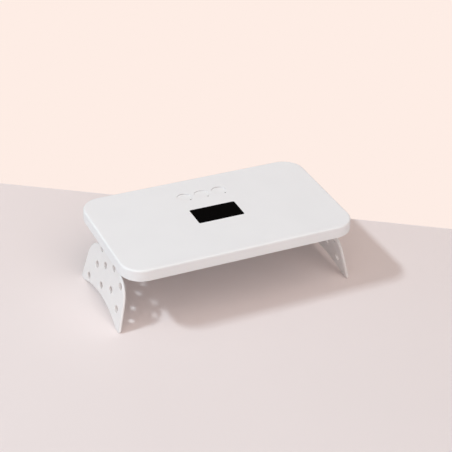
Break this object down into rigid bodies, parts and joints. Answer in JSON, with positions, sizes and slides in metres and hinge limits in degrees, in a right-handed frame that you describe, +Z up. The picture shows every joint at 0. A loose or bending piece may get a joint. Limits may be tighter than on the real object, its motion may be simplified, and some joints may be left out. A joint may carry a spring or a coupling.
{
  "type": "led nail lamp",
  "caption": "Slim folding lamp for curing nail varnish: flat head with display window and push buttons over fold-down perforated legs, emitters in its underside.",
  "frame": {"origin": "on the floor under the middle of the head, with the lamp standing on its open legs", "axes": "+X along the head to the right leg, +Y from the front to the back side with the power inlet, +Z up"},
  "size_m": [0.2068, 0.116, 0.063],
  "materials": {
    "cover_plastic": "satin white moulded plastic",
    "tray_plastic": "satin white moulded plastic, slightly duller",
    "leg_plastic": "satin white moulded plastic",
    "button_plastic": "smooth white plastic",
    "window_acrylic": "black tinted acrylic",
    "display_block": "dark grey display block",
    "reflector": "bright rolled sheet",
    "led_board": "aluminium board with a white coat",
    "emitter_lens": "clear lens over a pale yellow chip",
    "circuit_board": "green glass-fibre board",
    "black_plastic": "black moulded plastic",
    "ferrite": "dark grey ferrite",
    "ceramic": "tan ceramic",
    "steel": "plain bright steel",
    "screw_steel": "zinc plated"
  },
  "bodies": {
    "head": {"top_cover": "cover_plastic", "display_window": "window_acrylic", "display_module": "display_block", "bottom_cover": "tray_plastic", "reflector_plate": "reflector", "led_board": "led_board", "uv_leds": "emitter_lens", "control_board": "circuit_board", "board_header": "black_plastic", "controller_chip": "black_plastic", "power_inductor": "ferrite", "driver_transistors": "black_plastic", "chip_capacitors": "ceramic", "switch_bodies": "steel", "power_inlet": "steel", "left_hinge_rod": "steel", "right_hinge_rod": "steel", "cover_screws": "screw_steel", "board_screws": "screw_steel"},
    "left_leg": {"left_leg": "leg_plastic"},
    "right_leg": {"right_leg": "leg_plastic"},
    "left_button": {"left_button": "button_plastic", "left_switch_plunger": "black_plastic"},
    "middle_button": {"middle_button": "button_plastic", "middle_switch_plunger": "black_plastic"},
    "right_button": {"right_button": "button_plastic", "right_switch_plunger": "black_plastic"}
  },
  "joints": [
    {"name": "left_leg_fold", "type": "hinge", "parent": "head", "child": "left_leg", "pos_m": [-0.08915, -0.0015, 0.0552], "axis": [0, -1, 0], "range_deg": [0, 102.25]},
    {"name": "right_leg_fold", "type": "hinge", "parent": "head", "child": "right_leg", "pos_m": [0.08915, -0.0015, 0.0552], "axis": [0, 1, 0], "range_deg": [0, 102.25]},
    {"name": "left_button_press", "type": "slide", "parent": "head", "child": "left_button", "axis": [0, 0, -1], "range_m": [0, 0.0004], "stiffness_N_per_m": 3000},
    {"name": "middle_button_press", "type": "slide", "parent": "head", "child": "middle_button", "axis": [0, 0, -1], "range_m": [0, 0.0004], "stiffness_N_per_m": 3000},
    {"name": "right_button_press", "type": "slide", "parent": "head", "child": "right_button", "axis": [0, 0, -1], "range_m": [0, 0.0004], "stiffness_N_per_m": 3000}
  ]
}
